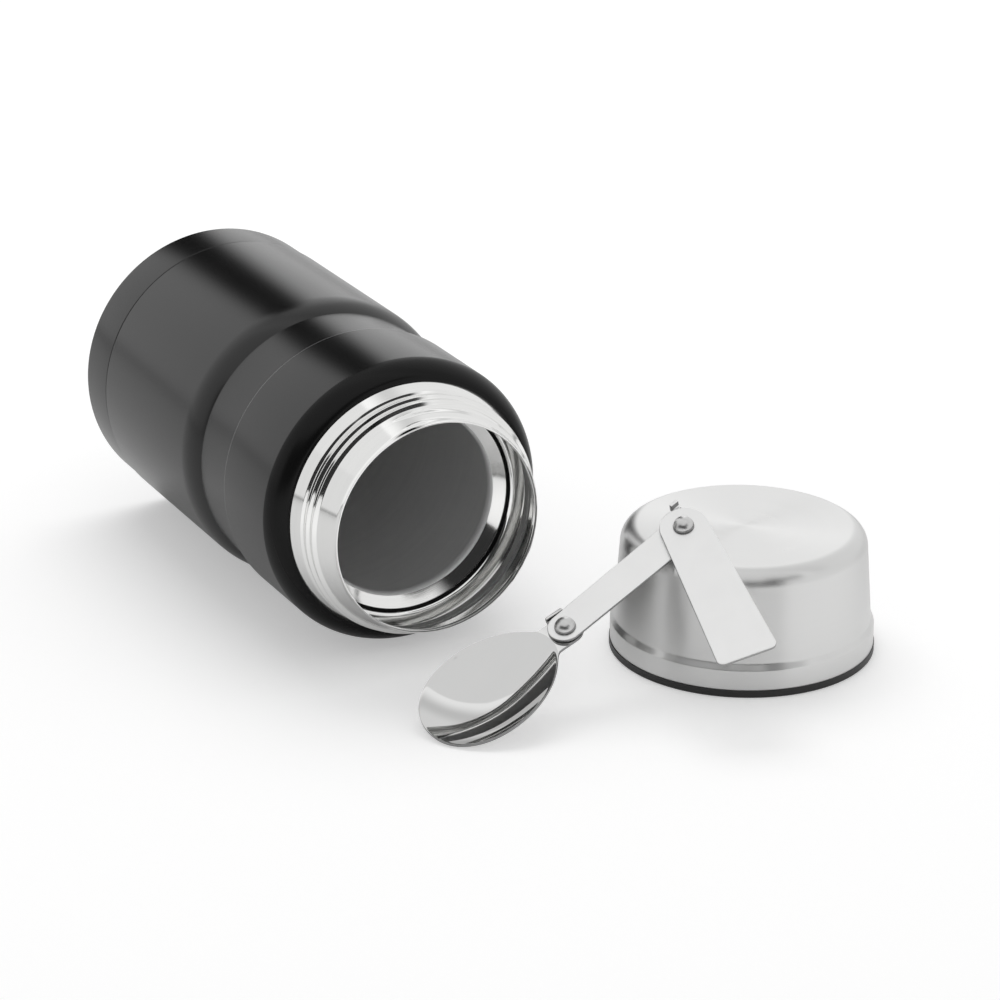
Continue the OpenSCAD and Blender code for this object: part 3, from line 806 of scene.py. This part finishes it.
bowl_ear = ear("bowl_ear", -2.4, 6.0, 5.75, tab_top - thick, 0)
round_edges(bowl_ear, 0.25)
pick(bowl)
bowl_ear.select_set(True)
bpy.ops.object.join()
put(bowl, bowl_place)
bpy.ops.object.shade_smooth_by_angle(angle=math.radians(35))
stand_for(bowl, "spoon_bowl", bowl_steel)
paint_edge_shade(bowl)

# %% [markdown]
# The rivets have high round heads. The bowl's rivet has a flat tail below; the handle's is flush. Each
# is turned on the lathe in one go, head and shank together, as a real rivet is one piece of wire.

# %% Rivets
head, tall = 3.2, 2.69
ball = (head * head + tall * tall) / (2 * tall)
round_head = bow(0, tall - ball, ball, 90, math.degrees(math.asin((ball - tall) / ball)), 24)


def rivet(name, node, head_z, shank, where):
    section = [Vector((r, z + head_z)) for r, z in round_head] + [Vector(p) for p in shank]
    obj = lathe(name, section, axis="Z", steps=96)
    put(obj, where)
    stand_for(obj, node, rivet_steel)
    # the rivet's sides get the same painted edge shade
    paint_edge_shade(obj, 0.42)


rivet("bowl_rivet_turned", "bowl_rivet", 0,
      [(1.9, 0), (1.9, -2.45), (3.1, -2.45), (3.2, -2.55), (2.75, -3.25), (0, -3.25)], spoon)
rivet("handle_rivet_turned", "handle_rivet", 1.35,
      [(1.9, 1.35), (1.9, -0.45), (2.45, -1.0), (0, -1.0)], second_rivet)

# %% [markdown]
# A pale floor, a soft world and one large lamp make the studio. The backdrop is white to the camera
# and in reflections, and lights the object less than that, so that pale steel doesn't burn out. In
# reflections the floor is bright in front of the lid and fades towards the back.

# %% Floor
floor_z = cad_box[0][2]
paper_gap = 0.0001
deselect()
bpy.ops.mesh.primitive_plane_add(size=8, location=(0, 0, floor_z - paper_gap))
floor = bpy.context.object
floor.name = "studio_floor"
bpy.ops.object.transform_apply(location=True)
print("floor at", round(floor_z / mm, 1), "mm")

# %% Paper
glow_to_camera, glow_in_front, glow_behind = 0.37, 0.40, 0.10
front_y, back_y = -0.12, 0.02
paper, tree, shader = new_material("white paper floor")
shader.inputs["Base Color"].default_value = (0.80, 0.80, 0.80, 1)
shader.inputs["Roughness"].default_value = 0.8
shader.inputs["Specular IOR Level"].default_value = 0.2
shader.inputs["Emission Color"].default_value = (1, 1, 1, 1)
rays = add(tree, "LightPath")
split = add(tree, "SeparateXYZ")
link(tree, coords(tree), split.inputs["Vector"])
mirrored = calc(tree, "MULTIPLY", rays.outputs["Is Glossy Ray"],
                spread(tree, split.outputs["Y"], glow_in_front, glow_behind, front_y, back_y))
seen = calc(tree, "MULTIPLY", rays.outputs["Is Camera Ray"], glow_to_camera)
link(tree, calc(tree, "ADD", seen, mirrored), shader.inputs["Emission Strength"])
floor.data.materials.append(paper)
print(paper.name)

# %% [markdown]
# What polished metal shows is the room round it, so the room is drawn in the world's light: screens
# and walls by compass direction, and a ceiling above. Real screens would do as well, but they would
# stand in the way of other views. Short helpers add up and blend the parts.

# %% World helpers
world = bpy.data.worlds.new("soft studio")
bpy.context.scene.world = world
world.use_nodes = True
sky_tree = world.node_tree
sky = sky_tree.nodes["Background"]
sky.inputs["Color"].default_value = (1, 1, 1, 1)
split = add(sky_tree, "SeparateXYZ")
link(sky_tree, add(sky_tree, "TexCoord").outputs["Generated"], split.inputs["Vector"])
east, north, up = (split.outputs[k] for k in "XYZ")


def plus(a, b):
    return calc(sky_tree, "ADD", a, b)


def times(a, b):
    return calc(sky_tree, "MULTIPLY", a, b)


def without(a):
    """1 less a: the share that a leaves."""
    return calc(sky_tree, "SUBTRACT", 1, a)


def ramp(source, start, end, low, high):
    """A soft change from low to high while source runs from start to end."""
    node = add(sky_tree, "MapRange", interpolation_type="SMOOTHSTEP",
               From_Min=start, From_Max=end, To_Min=low, To_Max=high)
    link(sky_tree, source, node.inputs["Value"])
    return node.outputs["Result"]


def bearing(centre):
    """Angle round the studio from a compass direction, in degrees, from -180 to 180."""
    turn = math.radians(centre)
    across = calc(sky_tree, "SUBTRACT", times(north, math.cos(turn)), times(east, math.sin(turn)))
    ahead = plus(times(east, math.cos(turn)), times(north, math.sin(turn)))
    return times(calc(sky_tree, "ARCTAN2", across, ahead), 180 / math.pi)


def away_from(centre):
    """The same angle, on either side alike."""
    return calc(sky_tree, "ABSOLUTE", bearing(centre))


print("the world has", len(sky_tree.nodes), "nodes so far")

# %% [markdown]
# Going round the room there are white screens behind the object, a pale wall at the left, a dark room
# in front and a white wall at the right. A narrow dark gap stands between two screens, and the walls
# dim towards the horizon, where the floor begins.

# %% Walls
right_screen, left_screen, left_wall, dark_room, right_wall = 1.25, 0.98, 0.80, 0.03, 0.88
changes = [(-180, -172, right_screen), (-150, -143, left_screen), (-110, -62, left_wall),
           (-50, -44, dark_room), (44, 58, right_wall)]
round_room = bearing(225)
walls, before = right_wall, right_wall
for start, end, light in changes:
    walls = plus(walls, ramp(round_room, start, end, 0, light - before))
    before = light
walls = times(walls, ramp(away_from(78.5), 5, 14, 0.0, 1))
walls = times(walls, ramp(calc(sky_tree, "ABSOLUTE", up), 0.0, 0.045, 0.45, 1))
print(len(changes), "changes round the room")

# %% [markdown]
# The ceiling is an even white, with a brighter panel over the right half that fades outwards. It
# starts higher up behind the object than elsewhere, and a dark beam crosses under its right part.

# %% Ceiling and beam
panel_turn = math.radians(34)
to_right = plus(times(east, math.cos(panel_turn)), times(north, math.sin(panel_turn)))
ceiling = plus(ramp(to_right, 0.0, 0.03, 0.86, 1.08), ramp(to_right, 0.05, 0.28, 0, -0.38))
ceiling = plus(ceiling, ramp(to_right, 0.3, 0.5, 0, 0.18))
behind = ramp(north, 0.50, 0.62, 0, 1)
edge = plus(times(behind, ramp(up, 0.72, 0.80, 0, 1)), times(without(behind), ramp(up, 0.52, 0.58, 0, 1)))
room = plus(times(walls, without(edge)), times(ceiling, edge))
beam_high = times(ramp(up, 0.48, 0.52, 0, 1), ramp(up, 0.66, 0.70, 1, 0))
beam = times(ramp(away_from(281), 17, 22, 1, 0), beam_high)
room = times(room, without(times(beam, 0.95)))
print("the world has", len(sky_tree.nodes), "nodes")

# %% [markdown]
# The room is only for mirrors. Matt surfaces get an even, weaker light, and the camera sees plain
# white. Light Path tells the three apart.

# %% Who sees what
soft_light = 0.55
rays = add(sky_tree, "LightPath")
mirror = calc(sky_tree, "MAXIMUM", rays.outputs["Is Glossy Ray"], rays.outputs["Is Transmission Ray"])
strength = plus(times(mirror, room), times(without(mirror), soft_light))
strength = calc(sky_tree, "MAXIMUM", strength, rays.outputs["Is Camera Ray"])
link(sky_tree, strength, sky.inputs["Strength"])
bpy.context.scene.view_settings.view_transform = "Standard"
print("view transform", bpy.context.scene.view_settings.view_transform)

# %% [markdown]
# One large soft lamp high behind the object gives the soft shadows on the floor. Mirrors don't show
# it, because the ceiling is already drawn in the world.

# %% Lamp
lamp_place, lamp_aim = Vector((0.25, 0.75, 1.35)), Vector((0, 0.05, 0))
deselect()
bpy.ops.object.light_add(type="AREA", location=lamp_place)
lamp = bpy.context.object
lamp.name = "top softbox"
lamp.data.shape = "RECTANGLE"
lamp.data.size, lamp.data.size_y = 1.4, 1.0
lamp.data.energy = 9
lamp.rotation_euler = (lamp_aim - lamp_place).to_track_quat("-Z", "Y").to_euler()
lamp.visible_glossy = False
print(lamp.name, lamp.data.energy, "W")
